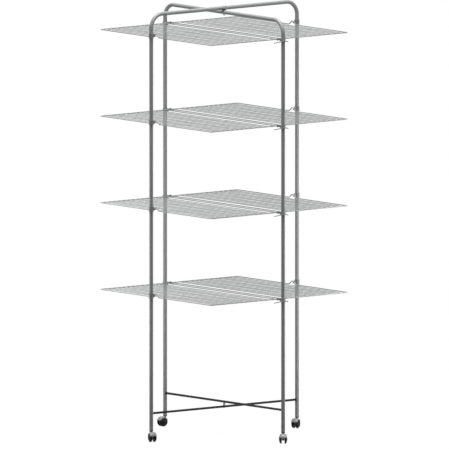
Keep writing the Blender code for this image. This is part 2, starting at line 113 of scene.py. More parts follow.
def unit(vectors: Array) -> Array:
    """Vectors divided by their lengths, along the last axis."""
    return vectors / np.linalg.norm(vectors, axis=-1, keepdims=True)


def joint(name: str) -> dict[str, Any]:
    """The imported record's joint of that name."""
    return next(item for item in frame["joints"] if item["name"] == name)


def body_of_node(node: str) -> str:
    """Name of the body that carries a node."""
    bodies = frame["record"]["behaviour"]["bodies"]
    return next(body for body, nodes in bodies.items() if node in nodes)


def basis(x_axis: Vector, z_axis: Vector, origin: Vector) -> Matrix:
    """The matrix that puts a piece's own X and Z axes along two square directions, at an origin."""
    columns = (x_axis, z_axis.cross(x_axis), z_axis)
    turn = Matrix([[column[row] for column in columns] for row in range(3)]).to_4x4()
    return Matrix.Translation(origin) @ turn


@dataclass
class Surface:
    """Closed shells as whole arrays: points (n, 3), four-sided faces (q, 4) and triangles (t, 3)."""

    points: Array
    quads: Array
    triangles: Array

    @classmethod
    def from_rings(cls, rings: Array, closed: bool = False) -> "Surface":
        """Skin a grid of rings.

        Face (i, j) joins points j and j + 1 of ring i to those of ring i + 1. It faces out when a ring runs
        anticlockwise seen against the way that the rings advance.

        Args:
            rings: Points, shape (rings, points in a ring, 3).
            closed: Join the last ring to the first; otherwise each end gets a fan of triangles.

        Returns:
            The closed surface.
        """
        rows, columns = rings.shape[:2]
        index = np.arange(rows * columns).reshape(rows, columns)
        rim = np.vstack([index, index[:1]]) if closed else index
        ahead = np.roll(rim, -1, axis=1)
        quads = np.stack([rim[:-1], ahead[:-1], ahead[1:], rim[1:]], axis=-1).reshape(-1, 4)
        points = rings.reshape(-1, 3)
        if closed:
            return cls(points, quads, np.empty((0, 3), int))
        start = np.full(columns, rows * columns)
        end = start + 1
        points = np.vstack([points, rings[0].mean(axis=0), rings[-1].mean(axis=0)])
        first = np.stack([start, ahead[0], index[0]], axis=-1)
        last = np.stack([end, index[-1], ahead[-1]], axis=-1)
        return cls(points, quads, np.vstack([first, last]))

    @classmethod
    def from_sheets(cls, outer: Array, inner: Array) -> "Surface":
        """A wall between two grids of the same shape, closed by strips along their four borders.

        Args:
            outer: Points of the face that shows, shape (rows, columns, 3).
            inner: The matching points of the face behind it.

        Returns:
            The closed wall.
        """
        rows, columns = outer.shape[:2]
        front = np.arange(rows * columns).reshape(rows, columns)
        back = front + rows * columns
        face = np.stack([front[:-1, :-1], front[:-1, 1:], front[1:, 1:], front[1:, :-1]], axis=-1)
        face = face.reshape(-1, 4)
        rear = face[:, ::-1] + rows * columns
        borders = [
            np.stack([front[0, 1:], front[0, :-1], back[0, :-1], back[0, 1:]], axis=-1),
            np.stack([front[-1, :-1], front[-1, 1:], back[-1, 1:], back[-1, :-1]], axis=-1),
            np.stack([front[:-1, 0], front[1:, 0], back[1:, 0], back[:-1, 0]], axis=-1),
            np.stack([front[1:, -1], front[:-1, -1], back[:-1, -1], back[1:, -1]], axis=-1),
        ]
        points = np.vstack([outer.reshape(-1, 3), inner.reshape(-1, 3)])
        return cls(points, np.vstack([face, rear, *borders]), np.empty((0, 3), int))

    @classmethod
    def joined(cls, surfaces: Sequence["Surface"]) -> "Surface":
        """Several surfaces as one, each shell kept as it is."""
        starts = np.cumsum([0] + [len(item.points) for item in surfaces[:-1]])
        quads = np.vstack([item.quads + start for item, start in zip(surfaces, starts)])
        triangles = np.vstack([item.triangles + start for item, start in zip(surfaces, starts)])
        return cls(np.vstack([item.points for item in surfaces]), quads, triangles)

    def moved(self, matrix: Matrix) -> "Surface":
        """The same surface with every point taken through a matrix."""
        table = np.array(matrix)
        return Surface(self.points @ table[:3, :3].T + table[:3, 3], self.quads, self.triangles)

    def mesh(self, name: str) -> bpy.types.Mesh:
        """Put the arrays into a Blender mesh.

        Args:
            name: The mesh's name.

        Returns:
            The new mesh, shaded smooth except across sharp edges.
        """
        mesh = bpy.data.meshes.new(name)
        corners = np.concatenate([self.quads.ravel(), self.triangles.ravel()])
        sizes = np.concatenate([np.full(len(self.quads), 4), np.full(len(self.triangles), 3)])
        mesh.vertices.add(len(self.points))
        mesh.vertices.foreach_set("co", self.points.astype(np.float32).ravel())
        mesh.loops.add(len(corners))
        mesh.loops.foreach_set("vertex_index", corners.astype(np.int32))
        mesh.polygons.add(len(sizes))
        mesh.polygons.foreach_set("loop_start", np.concatenate([[0], np.cumsum(sizes)[:-1]]).astype(np.int32))
        mesh.update(calc_edges=True)
        mesh.validate()
        return smoothed(mesh)


def smoothed(mesh: bpy.types.Mesh) -> bpy.types.Mesh:
    """Shade a mesh smooth except across its sharp edges, and return it."""
    mesh.shade_smooth()
    mesh.set_sharp_from_angle(angle=math.radians(SHARP_ANGLE))
    return mesh


def eased(corners: Sequence[Sequence[float]], reach: float, steps: int = 4, closed: bool = False) -> Array:
    """Round the corners of a path or an outline.

    Each corner becomes a short parabola, (1-t)^2 A + 2t(1-t) C + t^2 B, between the points A and B that lie
    reach before and after the corner C, or just under half an edge away where the edge is short.

    Args:
        corners: Points of the path, in two or three dimensions.
        reach: How far from a corner its rounding starts.
        steps: Steps along each parabola.
        closed: The last point joins the first.

    Returns:
        The rounded path's points.
    """
    points = np.asarray(corners, float)
    back = np.roll(points, 1, axis=0) - points
    ahead = np.roll(points, -1, axis=0) - points
    back *= np.minimum(reach / np.linalg.norm(back, axis=1), EASE_LIMIT)[:, None]
    ahead *= np.minimum(reach / np.linalg.norm(ahead, axis=1), EASE_LIMIT)[:, None]
    t = np.linspace(0.0, 1.0, steps + 1)[None, :, None]
    start, middle, end = (points + back)[:, None], points[:, None], (points + ahead)[:, None]
    curves = (1 - t) ** 2 * start + 2 * t * (1 - t) * middle + t ** 2 * end
    if closed:
        return curves.reshape(-1, points.shape[1])
    inner = curves[1:-1].reshape(-1, points.shape[1])
    return np.vstack([points[:1], inner, points[-1:]])


def arc(centre: Sequence[float], radius: float, start: float, end: float, steps: int) -> Array:
    """Points (x, y) of an arc about a centre, its angles in degrees and both ends included."""
    angle = np.radians(np.linspace(start, end, steps + 1))
    return np.stack([centre[0] + radius * np.cos(angle), centre[1] + radius * np.sin(angle)], axis=-1)


def stretched(path: Array, gap: float) -> Array:
    """The same path with its long straight runs divided evenly into steps no longer than a gap."""
    lengths = np.linalg.norm(np.diff(path, axis=0), axis=1)
    counts = np.maximum(np.ceil(lengths / gap).astype(int), 1)
    start = np.repeat(np.arange(len(counts)), counts)
    share = np.concatenate([np.arange(count) / count for count in counts])[:, None]
    return np.vstack([path[start] * (1 - share) + path[start + 1] * share, path[-1:]])


def directions(path: Array, closed: bool = False) -> Array:
    """Unit tangents of a path: at each point the mean direction of the steps before and after it."""
    if closed:
        steps = unit(np.roll(path, -1, axis=0) - path)
        return unit(steps + np.roll(steps, 1, axis=0))
    steps = unit(np.diff(path, axis=0))
    return unit(np.vstack([steps[:1], steps[:-1] + steps[1:], steps[-1:]]))


def circles(path: Array, radius: Union[float, Array], sides: int, beside: Array,
            closed: bool = False) -> Array:
    """Rings of a bar: a circle carried along a path, square to it.

    At each point P with tangent T, the direction N is `beside` less its part along T, and the ring is
    P + radius (cos a N + sin a T x N) for angles a all round.

    Args:
        path: Points of the centre line, shape (n, 3).
        radius: The bar's radius, one value or one for each point.
        sides: Points in each ring.
        beside: A direction that the path never runs along.
        closed: The path is a loop.

    Returns:
        The rings, shape (n, sides, 3).
    """
    tangent = directions(path, closed)
    normal = unit(beside - (tangent @ beside)[:, None] * tangent)
    binormal = np.cross(tangent, normal)
    angle = np.linspace(0.0, 2 * np.pi, sides, endpoint=False)
    around = np.cos(angle)[None, :, None] * normal[:, None] + np.sin(angle)[None, :, None] * binormal[:, None]
    size = np.broadcast_to(np.asarray(radius, float), len(path))
    return path[:, None] + size[:, None, None] * around


def bar(path: Array, radius: Union[float, Array], sides: int, beside: Array, edge: float = 0.0) -> Surface:
    """A solid bar along a path, its two ends rounded over.

    At a distance edge (1 - cos f) from an end the radius is less by edge (1 - sin f), for f from 0 to 90.

    Args:
        path: Points of the centre line, shape (n, 3).
        radius: The bar's radius, one value or one for each point.
        sides: Points in each ring.
        beside: A direction that the path never runs along.
        edge: Radius of the rounding at the ends.

    Returns:
        The bar's surface.
    """
    size = np.broadcast_to(np.asarray(radius, float), len(path))
    if edge > 0.0:
        f = np.radians(np.linspace(0.0, 90.0, RIM_STEPS))
        away = (edge * (1 - np.cos(f)))[:, None]
        less = edge * (1 - np.sin(f))
        tangent = directions(path)
        start = path[:1] + away * tangent[:1]
        end = path[-1:] - away[::-1] * tangent[-1:]
        path = np.vstack([start, path[1:-1], end])
        size = np.concatenate([size[0] - less, size[1:-1], size[-1] - less[::-1]])
    return Surface.from_rings(circles(path, size, sides, beside))


def pipe(path: Array, radius: float, bore: float, sides: int, beside: Array) -> Surface:
    """A hollow tube along a path: outer rings one way, the bore's rings back, cut ends between them."""
    outer = circles(path, radius, sides, beside)
    inner = circles(path, bore, sides, beside)
    return Surface.from_rings(np.concatenate([outer, inner[::-1]]), closed=True)


def turned(profile: Array, sides: int, closed: bool = False) -> Surface:
    """A profile of (radius, height) points carried round the Z axis; it runs up on its outer side.

    Args:
        profile: The profile's points, shape (n, 2).
        sides: Points in each ring.
        closed: The profile is a closed outline clear of the axis, so the piece is a ring.

    Returns:
        The turned surface.
    """
    angle = np.linspace(0.0, 2 * np.pi, sides, endpoint=False)
    across = profile[:, :1, None] * np.stack([np.cos(angle), np.sin(angle)], axis=-1)[None]
    height = np.broadcast_to(profile[:, 1:, None], (len(profile), sides, 1))
    return Surface.from_rings(np.concatenate([across, height], axis=-1), closed)


def plate(outline: Array, low: float, high: float, edge: float) -> Surface:
    """A thick plate from an anticlockwise outline in the XY plane, its rims rounded over.

    Going up a rim by an angle f, the outline lies edge (1 - cos f) inside itself while its height moves by
    edge sin f, once at the lower rim and once at the upper one.

    Args:
        outline: The outline's points, shape (n, 2).
        low: Height of the lower face.
        high: Height of the upper face.
        edge: Radius of the rounding.

    Returns:
        The plate's surface.
    """
    tangent = unit(np.roll(outline, -1, axis=0) - np.roll(outline, 1, axis=0))
    inwards = np.stack([-tangent[:, 1], tangent[:, 0]], axis=-1)
    f = np.radians(np.linspace(-90.0, 0.0, RIM_STEPS))
    inset = np.concatenate([edge * (1 - np.cos(f)), edge * (1 - np.cos(f[::-1]))])
    height = np.concatenate([low + edge + edge * np.sin(f), high - edge - edge * np.sin(f[::-1])])
    flat = outline[None] + inset[:, None, None] * inwards[None]
    levels = np.broadcast_to(height[:, None, None], (*flat.shape[:2], 1))
    return Surface.from_rings(np.concatenate([flat, levels], axis=-1))


def bush(radius: float, bore: float, ends: tuple[float, float], edge: float, steps: int,
         sides: int) -> Surface:
    """A plain ring round the Z axis between two heights, its rims eased."""
    low, high = ends
    corners = [(radius, low), (radius, high), (bore, high), (bore, low)]
    return turned(eased(corners, edge, steps, closed=True), sides, closed=True)


def heights(node: str) -> tuple[float, float]:
    """The lowest and highest point of a node."""
    low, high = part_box(node)
    return low.z, high.z


def block(low: Sequence[float], high: Sequence[float], edge: float) -> Surface:
    """A box between two corners with all its edges rounded: a plate with an eased four-cornered outline."""
    corners = [(low[0], low[1]), (high[0], low[1]), (high[0], high[1]), (low[0], high[1])]
    return plate(eased(corners, 2 * edge, 4, closed=True), low[2], high[2], edge)


def beads(centres: Array, sizes: Sequence[float], sides: int = 10, rows: int = 6) -> Surface:
    """One flattened ball at each centre: (sin v cos u, sin v sin u, cos v) times the half sizes."""
    v = np.radians(np.linspace(165.0, 15.0, rows))[:, None]
    u = np.linspace(0.0, 2 * np.pi, sides, endpoint=False)[None]
    level = np.cos(v) + 0 * u
    ball = np.stack([np.sin(v) * np.cos(u), np.sin(v) * np.sin(u), level], axis=-1) * np.array(sizes)
    return Surface.joined([Surface.from_rings(centre + ball) for centre in centres])


def baked(mesh: bpy.types.Mesh, dress: Callable[[bpy.types.Object], None]) -> bpy.types.Mesh:
    """Give a mesh some modifiers and return the mesh that they make.

    Args:
        mesh: The mesh to start from.
        dress: Adds the modifiers to the object that it is given.

    Returns:
        A new mesh with the modifiers in it.
    """
    item = bpy.data.objects.new("work", mesh)
    bpy.context.scene.collection.objects.link(item)
    dress(item)
    graph = bpy.context.evaluated_depsgraph_get()
    result = bpy.data.meshes.new_from_object(item.evaluated_get(graph))
    bpy.data.objects.remove(item, do_unlink=True)
    return result


def gathered(name: str, meshes: Iterable[bpy.types.Mesh]) -> bpy.types.Mesh:
    """Several meshes as one new mesh, each shell kept as it is."""
    shape = bmesh.new()
    for mesh in meshes:
        shape.from_mesh(mesh)
    result = bpy.data.meshes.new(name)
    shape.to_mesh(result)
    shape.free()
    return smoothed(result)


def moulded(name: str, shells: Sequence[Surface], grain: float) -> bpy.types.Mesh:
    """Melt overlapping shells into one moulded body with small fillets where they meet.

    Args:
        name: The mesh's name.
        shells: Closed surfaces that overlap each other.
        grain: Size of the cells that the skin is rebuilt from; the fillets are about as large.

    Returns:
        The new mesh.
    """
    def melt(item: bpy.types.Object) -> None:
        """Rebuild the skin in even cells, then relax it."""
        remesh = item.modifiers.new("skin", "REMESH")
        remesh.mode = "VOXEL"
        remesh.voxel_size = grain
        relax = item.modifiers.new("relax", "SMOOTH")
        relax.factor = 0.5
        relax.iterations = 3

    mesh = baked(Surface.joined(shells).mesh(name), melt)
    mesh.shade_smooth()
    return mesh


class Value:
    """A shader socket that can stand in Python arithmetic."""

    def __init__(self, shader: "Shader", socket: bpy.types.NodeSocket) -> None:
        """Wrap an output socket of a shader's tree."""
        self.shader = shader
        self.socket = socket

    def maths(self, operation: str, *terms: Union["Value", float]) -> "Value":
        """A Math node's result on some terms."""
        return self.shader.node("ShaderNodeMath", {"operation": operation}, dict(enumerate(terms)))

    def __add__(self, other: Union["Value", float]) -> "Value":
        """The value + another."""
        return self.maths("ADD", self, other)

    def __radd__(self, other: float) -> "Value":
        """A number + the value."""
        return self.maths("ADD", other, self)

    def __sub__(self, other: Union["Value", float]) -> "Value":
        """The value - another."""
        return self.maths("SUBTRACT", self, other)

    def __rsub__(self, other: float) -> "Value":
        """A number - the value."""
        return self.maths("SUBTRACT", other, self)

    def __mul__(self, other: Union["Value", float]) -> "Value":
        """The value * another."""
        return self.maths("MULTIPLY", self, other)

    def __rmul__(self, other: float) -> "Value":
        """A number * the value."""
        return self.maths("MULTIPLY", other, self)

    def __pow__(self, other: float) -> "Value":
        """The value to the power of a number."""
        return self.maths("POWER", self, other)

    def between(self, low: float, high: float) -> "Value":
        """The value rescaled so that low gives 0 and high gives 1, and held between them."""
        inputs = {"Value": self, "From Min": low, "From Max": high}
        return self.shader.node("ShaderNodeMapRange", {"clamp": True}, inputs)


class Shader:
    """A material's node tree with one Principled shader, and one method that adds any other node."""

    def __init__(self, name: str) -> None:
        """Start a material with a bare Principled shader."""
        self.material = bpy.data.materials.new(name)
        self.material.use_nodes = True
        self.tree = self.material.node_tree
        self.principled = self.tree.nodes["Principled BSDF"]

    def feed(self, socket: bpy.types.NodeSocket, value: Any) -> None:
        """Link a Value to a socket, or set the socket's own value."""
        if isinstance(value, Value):
            self.tree.links.new(value.socket, socket)
        else:
            socket.default_value = value

    def node(self, kind: str, settings: Mapping[str, Any], inputs: Mapping[Any, Any],
             output: int = 0) -> Value:
        """Add a node.

        Args:
            kind: The node's type.
            settings: Its properties, such as a Math node's operation, which are set first.
            inputs: Socket values or links, by socket name or index.
            output: Index of the output that is used.

        Returns:
            That output.
        """
        node = self.tree.nodes.new(kind)
        for key, value in settings.items():
            setattr(node, key, value)
        for key, value in inputs.items():
            self.feed(node.inputs[key], value)
        return Value(self, node.outputs[output])

    def place(self, scale: Sequence[float] = (1.0, 1.0, 1.0)) -> Value:
        """Object coordinates, multiplied by a scale for each axis."""
        here = self.node("ShaderNodeTexCoord", {}, {}, 3)
        return self.node("ShaderNodeMapping", {}, {"Vector": here, "Scale": scale})

    def noise(self, scale: float, detail: float = 2.0, stretch: Sequence[float] = (1.0, 1.0, 1.0)) -> Value:
        """Soft noise from 0 to 1, its grain about 1 / scale metres, stretched by axis."""
        inputs = {"Vector": self.place(stretch), "Scale": scale, "Detail": detail}
        return self.node("ShaderNodeTexNoise", {}, inputs)

    def height(self) -> Value:
        """Height above the floor, in metres."""
        return self.node("ShaderNodeSeparateXYZ", {}, {"Vector": self.place()}, 2)

    def mixed(self, factor: Union[Value, float], first: Union[Value, Colour],
              second: Union[Value, Colour]) -> Value:
        """One colour or another by a factor."""
        pair = [item if isinstance(item, Value) else (*item, 1.0) for item in (first, second)]
        return self.node("ShaderNodeMix", {"data_type": "RGBA"}, {0: factor, 6: pair[0], 7: pair[1]}, 2)

    def bump(self, height: Value, distance: float, strength: float) -> Value:
        """A normal raised by a height of some distance, in metres."""
        inputs = {"Height": height, "Distance": distance, "Strength": strength}
        return self.node("ShaderNodeBump", {}, inputs)

    def finish(self, **sockets: Any) -> bpy.types.Material:
        """Feed the Principled shader's sockets, underscores for spaces, and return the material."""
        for key, value in sockets.items():
            self.feed(self.principled.inputs[key.replace("_", " ").title().replace("Ior", "IOR")], value)
        return self.material


@dataclass(frozen=True)
class TubePaint:
    """Silver-grey paint on steel tube: orange peel, faint upright streaks, rubs, and darker, rougher patches
    towards the floor.
    """

    name: str = "tube_paint"
    colour: Colour = (0.27, 0.273, 0.278)
    rubbed: Colour = (0.33, 0.334, 0.34)
    # Darker colour that the paint takes in patches near the floor.
    dusty: Colour = (0.15, 0.148, 0.145)
    metallic: float = 0.05
    roughness: float = 0.40

    def material(self) -> bpy.types.Material:
        """Build the material."""
        shader = Shader(self.name)
        streaks = shader.noise(190.0, 3.0, (1.0, 1.0, 0.04))
        rubs = shader.noise(34.0, 4.0, (1.0, 1.0, 0.35)).between(0.60, 0.74)
        # Noise patches in the lowest 0.35 m, fading out upwards: they darken the colour half way to the darker
        # colour and raise the roughness.
        low_darkening = shader.noise(60.0, 4.0).between(0.35, 0.75) * (1 - shader.height().between(0.04, 0.35))
        colour = shader.mixed(rubs * 0.35 + streaks.between(0.3, 0.7) * 0.18, self.colour, self.rubbed)
        colour = shader.mixed(low_darkening * 0.5, colour, self.dusty)
        peel = shader.noise(850.0, 2.0)
        return shader.finish(
            base_color=colour,
            metallic=self.metallic,
            roughness=self.roughness + streaks * 0.08 - rubs * 0.08 + low_darkening * 0.2,
            normal=shader.bump(peel, 0.00012, 0.35),
            specular_ior_level=0.2,
        )


@dataclass(frozen=True)
class WireCoat:
    """A thick grey coat on steel wire, pooled a little unevenly."""

    name: str = "wire_coat"
    colour: Colour = (0.275, 0.278, 0.282)
    shade: Colour = (0.22, 0.223, 0.227)
    roughness: float = 0.36

    def material(self) -> bpy.types.Material:
        """Build the material."""
        shader = Shader(self.name)
        cloud = shader.noise(25.0, 3.0).between(0.35, 0.7)
        pools = shader.noise(420.0, 2.0)
        return shader.finish(
            base_color=shader.mixed(cloud * 0.6, self.colour, self.shade),
            metallic=0.1,
            roughness=self.roughness + cloud * 0.12,
            normal=shader.bump(pools, 0.0002, 0.3),
        )


@dataclass(frozen=True)
class RodCoat:
    """Near-black coat on the lower rods, scuffed a little where it has been knocked."""

    name: str = "rod_coat"
    colour: Colour = (0.010, 0.010, 0.011)
    scuffed: Colour = (0.05, 0.05, 0.053)
    roughness: float = 0.46

    def material(self) -> bpy.types.Material:
        """Build the material."""
        shader = Shader(self.name)
        scuffs = shader.noise(48.0, 5.0).between(0.62, 0.75)
        return shader.finish(
            base_color=shader.mixed(scuffs * 0.5, self.colour, self.scuffed),
            metallic=0.1,
            specular_ior_level=0.15,
            roughness=self.roughness + scuffs * 0.15,
            normal=shader.bump(shader.noise(700.0, 2.0), 0.0001, 0.3),
        )


@dataclass(frozen=True)
class ZincPlate:
    """Bright zinc on steel fasteners: cloudy, with fine turning marks."""

    name: str = "zinc_plate"
    colour: Colour = (0.58, 0.58, 0.57)
    dull: Colour = (0.40, 0.40, 0.40)

    def material(self) -> bpy.types.Material:
        """Build the material."""
        shader = Shader(self.name)
        cloud = shader.noise(300.0, 4.0).between(0.35, 0.65)
        marks = shader.noise(1500.0, 2.0, (1.0, 1.0, 3.0))
        return shader.finish(
            base_color=shader.mixed(cloud, self.colour, self.dull),
            metallic=1.0,
            roughness=0.28 + cloud * 0.2,
            normal=shader.bump(marks, 0.00005, 0.4),
        )


@dataclass(frozen=True)
class Moulding:
    """Moulded plastic: a fine spark-eroded grain, slow sheen changes and pale rubs on what gets touched."""

    name: str
    colour: Colour
    rubbed: Colour
    roughness: float
    grain: float
    specular: float = 0.5

    def material(self) -> bpy.types.Material:
        """Build the material."""
        shader = Shader(self.name)
        sheen = shader.noise(110.0, 3.0).between(0.3, 0.7)
        rubs = shader.noise(160.0, 5.0).between(0.60, 0.72)
        return shader.finish(
            base_color=shader.mixed(rubs * 0.45 + sheen * 0.15, self.colour, self.rubbed),
            roughness=self.roughness + sheen * 0.10 + rubs * 0.08,
            specular_ior_level=self.specular,
            normal=shader.bump(shader.noise(1900.0, 3.0), 0.0001, self.grain),
        )


class Finishes:
    """Every finish of the airer, each built once."""

    def __init__(self) -> None:
        """Build the materials, one for each slot."""
        recipes = {
            Slot.TUBE: TubePaint(),
            Slot.WIRE: WireCoat(),
            Slot.ROD: RodCoat(),
            Slot.ZINC: ZincPlate(),
            Slot.CLIP: Moulding("clip_moulding", (0.17, 0.172, 0.176), (0.26, 0.262, 0.266),
                                roughness=0.42, grain=0.5),
            Slot.HOOD: Moulding("hood_moulding", (0.21, 0.21, 0.214), (0.28, 0.28, 0.284),
                                roughness=0.34, grain=0.12, specular=0.45),
            Slot.BLACK: Moulding("black_moulding", (0.006, 0.006, 0.006), (0.02, 0.02, 0.02),
                                 roughness=0.46, grain=0.4, specular=0.15),
            Slot.PALE: Moulding("pale_moulding", (0.62, 0.62, 0.60), (0.5, 0.5, 0.48),
                                roughness=0.42, grain=0.4),
        }
        self.by_slot: dict[Slot, bpy.types.Material] = {
            slot: recipe.material() for slot, recipe in recipes.items()
        }

    def show(self, name: str, mesh: bpy.types.Mesh, slot: Slot, *nodes: str) -> bpy.types.Object:
        """Add a finished piece in place of some nodes, riding on their body.

        Args:
            name: The piece's name.
            mesh: Its mesh, already in place.
            slot: Its finish.
            nodes: The nodes that it stands for.

        Returns:
            The new object.
        """
        mesh.materials.clear()
        mesh.materials.append(self.by_slot[slot])
        item = bpy.data.objects.new(name, mesh)
        bpy.context.scene.collection.objects.link(item)
        body = body_of_node(nodes[0])
        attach(item, body)
        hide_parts(*nodes)
        LOG.info("%s: %d faces on %s for %s", name, len(mesh.polygons), body, ", ".join(nodes))
        return item

    def coat(self, node: str, slot: Slot) -> None:
        """Give a node that stays as it is its finish."""
        item = frame["nodes"][node]
        if not item.material_slots:
            item.data.materials.append(None)
        for place in item.material_slots:
            place.material = self.by_slot[slot]
        LOG.info("%s: kept, with the %s finish", node, slot.value)


@dataclass(frozen=True)
class TubeFrame:
    """One tube frame: its bow, its two legs and the tie rod between them."""

    letter: str
    legs: tuple[Leg, Leg]
    tube_radius: float = 0.0075
    tube_bore: float = 0.0065
    bend_radius: float = 0.052
    spigot_radius: float = 0.00595
    spigot_bore: float = 0.0050
    spigot_length: float = 0.032
    swage_length: float = 0.002
    swage_step: float = 0.0003
    rod_radius: float = 0.0043
    rod_edge: float = 0.0008
    weld_bead: float = 0.0009
    sides: int = 40

    @property
    def along(self) -> Array:
        """Unit vector along the frame's top bar, towards its first leg."""
        return np.array(self.legs[0].outwards)

    @property
    def beside(self) -> Array:
        """Unit vector square to the frame's plane."""
        return np.cross(UP, self.along)

    def leg_axis(self, leg: Leg) -> tuple[Vector, float, float]:
        """A leg's axis point at the floor, and the heights of its two cut ends."""
        low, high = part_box(f"leg_tube_{leg.side}")
        middle = (low + high) / 2
        return Vector((middle.x, middle.y, 0.0)), low.z, high.z

    def reach(self) -> float:
        """Distance from the fold axis to a leg's axis."""
        return self.leg_axis(self.legs[0])[0].length

    def in_plane(self, flat: Array) -> Array:
        """Points (distance along the frame, height) as points in space."""
        return flat[:, :1] * self.along + flat[:, 1:] * UP

    def bow(self) -> Surface:
        """The bow: the tube's rings from one end to the other, then its bore's rings back.

        At both ends the outside steps in to the spigot's radius and the bore narrows with it.
        """
        reach = self.reach()
        shoulder = self.leg_axis(self.legs[0])[2]
        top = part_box(f"frame_{self.letter}_bow")[1].z - self.tube_radius
        centre = (reach - self.bend_radius, top - self.bend_radius)
        bend = arc(centre, self.bend_radius, 0.0, 90.0, 20)
        half = np.vstack([[(reach, shoulder + self.swage_length)], bend])
        run = np.vstack([half, (half * (-1.0, 1.0))[::-1]])
        core = stretched(self.in_plane(run), 0.05)
        ends = np.array([-self.spigot_length, 0.0, 0.0])
        outside = np.array([self.spigot_radius, self.spigot_radius, self.tube_radius])
        levels = shoulder + ends + (0.0, 0.0, self.swage_step)
        first = self.in_plane(np.stack([np.full(3, reach), levels], axis=-1))
        last = self.in_plane(np.stack([np.full(3, -reach), levels], axis=-1))[::-1]
        outer = np.concatenate([
            circles(first, outside, self.sides, self.beside),
            circles(core, self.tube_radius, self.sides, self.beside),
            circles(last, outside[::-1], self.sides, self.beside),
        ])
        inner = np.concatenate([
            circles(first, self.spigot_bore, self.sides, self.beside),
            circles(core, self.tube_bore, self.sides, self.beside),
            circles(last, self.spigot_bore, self.sides, self.beside),
        ])
        return Surface.from_rings(np.concatenate([outer, inner[::-1]]), closed=True)

    def leg(self, leg: Leg) -> Surface:
        """A straight leg, open at both ends."""
        axis, foot, head = self.leg_axis(leg)
        heights = stretched(np.array([[0.0, 0.0, foot], [0.0, 0.0, head]]), 0.1)
        return pipe(heights + np.array(axis), self.tube_radius, self.tube_bore, self.sides, self.beside)

    def rod(self) -> Surface:
        """The tie rod, with a wavy weld bead where it meets each leg.

        The bead's centre line is where a bar of the rod's radius enters the round leg: for an angle a it lies
        at (-sqrt(R^2 - r^2 cos^2 a), r cos a, r sin a) from the leg's axis, and its thickness ripples with a.
        """
        low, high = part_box(f"frame_{self.letter}_rod")
        height = (low.z + high.z) / 2
        half = max(high.x, high.y)
        line = stretched(self.in_plane(np.array([[-half, height], [half, height]])), 0.1)
        shells = [bar(line, self.rod_radius, 24, UP, self.rod_edge)]
        angle = np.linspace(0.0, 2 * np.pi, 48, endpoint=False)
        across, rise = self.rod_radius * np.cos(angle), self.rod_radius * np.sin(angle)
        depth = np.sqrt(self.tube_radius ** 2 - across ** 2)
        thickness = self.weld_bead * (1 + 0.22 * np.sin(9 * angle) + 0.1 * np.sin(4 * angle + 1.0))
        for leg in self.legs:
            out = np.array(leg.outwards)
            level = np.cross(UP, out)
            place = np.array(self.leg_axis(leg)[0]) + height * UP
            loop = place - depth[:, None] * out + across[:, None] * level + rise[:, None] * UP
            shells.append(Surface.from_rings(circles(loop, thickness, 8, out, closed=True), closed=True))
        return Surface.joined(shells)

    def build(self, finishes: Finishes) -> None:
        """Make and dress the bow, the legs and the rod."""
        bow, rod = f"frame_{self.letter}_bow", f"frame_{self.letter}_rod"
        finishes.show(f"{bow}_skin", self.bow().mesh(bow), Slot.TUBE, bow)
        finishes.show(f"{rod}_skin", self.rod().mesh(rod), Slot.ROD, rod)
        for leg in self.legs:
            node = f"leg_tube_{leg.side}"
            finishes.show(f"{node}_skin", self.leg(leg).mesh(node), Slot.TUBE, node)


